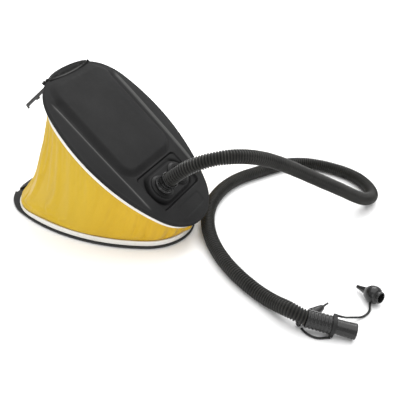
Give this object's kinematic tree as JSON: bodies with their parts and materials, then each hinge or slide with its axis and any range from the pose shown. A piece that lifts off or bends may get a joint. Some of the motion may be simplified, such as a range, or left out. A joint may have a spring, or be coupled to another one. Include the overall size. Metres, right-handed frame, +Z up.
{
  "type": "foot air pump",
  "caption": "Foot-operated bellows air pump: hinged oval treadle on an oval base, fabric bellows, valve ports, corrugated hose with nozzle and tethered adaptors.",
  "frame": {"origin": "on the floor under the middle of the base plate, at the contact face of the centre foot", "axes": "+X from the free end towards the hinge end, +Y towards the hose loop, +Z up"},
  "size_m": [0.5609, 0.4082, 0.2043],
  "materials": {
    "dark_plastic": "fine satin grain",
    "bead_plastic": "matt off-white extrusion",
    "bellows_fabric": "coated woven fabric, yellow",
    "pin_steel": "zinc plated",
    "spring_steel": "oiled spring wire",
    "black_rubber": "matt",
    "black_plastic": "semi-gloss",
    "hose_plastic": "ribbed flexible, semi-gloss"
  },
  "bodies": {
    "base": {"base_plate": "dark_plastic", "lower_bead": "bead_plastic", "bellows": "bellows_fabric", "hinge_pin": "pin_steel", "pin_washer": "pin_steel", "return_spring": "spring_steel", "rubber_feet": "black_rubber", "hose": "hose_plastic", "hose_cuff": "black_plastic", "nozzle_tube": "black_plastic", "tether_ring": "black_rubber"},
    "treadle": {"top_plate": "dark_plastic", "upper_bead": "bead_plastic", "inflate_port_sleeve": "black_plastic", "deflate_port_sleeve": "black_plastic", "inflate_port_gasket": "black_rubber", "deflate_port_gasket": "black_rubber", "outlet_flap_stud": "black_plastic", "inlet_flap_stud": "black_plastic"},
    "outlet_valve": {"outlet_flap": "black_rubber"},
    "inlet_valve": {"inlet_flap": "black_rubber"},
    "plug": {"hose_plug": "black_plastic"},
    "latch_n": {"near_latch": "black_plastic"},
    "latch_f": {"far_latch": "black_plastic"},
    "bell_end": {"long_tether": "black_rubber", "bell_adaptor": "black_plastic"},
    "pin_end": {"short_tether": "black_rubber", "pin_adaptor": "black_plastic"}
  },
  "joints": [
    {"name": "treadle_hinge", "type": "hinge", "parent": "base", "child": "treadle", "pos_m": [0.122, 0, 0.018], "axis": [0, 1, 0], "range_deg": [-35.3, 1], "stiffness_Nm_per_rad": 9, "springref_deg": 6, "deforming": ["bellows", "return_spring", "hose"]},
    {"name": "outlet_flap_lift", "type": "slide", "parent": "treadle", "child": "outlet_valve", "axis": [0.5934, 0, 0.8049], "range_m": [0, 0.0025]},
    {"name": "inlet_flap_drop", "type": "slide", "parent": "treadle", "child": "inlet_valve", "axis": [-0.5934, 0, -0.8049], "range_m": [0, 0.0025]},
    {"name": "plug_pull", "type": "slide", "parent": "treadle", "child": "plug", "axis": [0.5934, 0, 0.8049], "range_m": [0, 0.016], "deforming": ["hose"]},
    {"name": "near_latch_swing", "type": "hinge", "parent": "treadle", "child": "latch_n", "pos_m": [-0.06339, -0.046, 0.19121], "axis": [0, 1, 0], "range_deg": [-4, 70]},
    {"name": "far_latch_swing", "type": "hinge", "parent": "treadle", "child": "latch_f", "pos_m": [-0.06339, 0.046, 0.19121], "axis": [0, 1, 0], "range_deg": [-4, 70]},
    {"name": "bell_adaptor_swing", "type": "hinge", "parent": "base", "child": "bell_end", "pos_m": [0.37923, -0.07639, 0.02316], "axis": [0, 0, 1], "range_deg": [-12, 20]},
    {"name": "pin_adaptor_swing", "type": "hinge", "parent": "base", "child": "pin_end", "pos_m": [0.37896, -0.09467, 0.0027], "axis": [0, 0, 1], "range_deg": [-8, 5]}
  ]
}
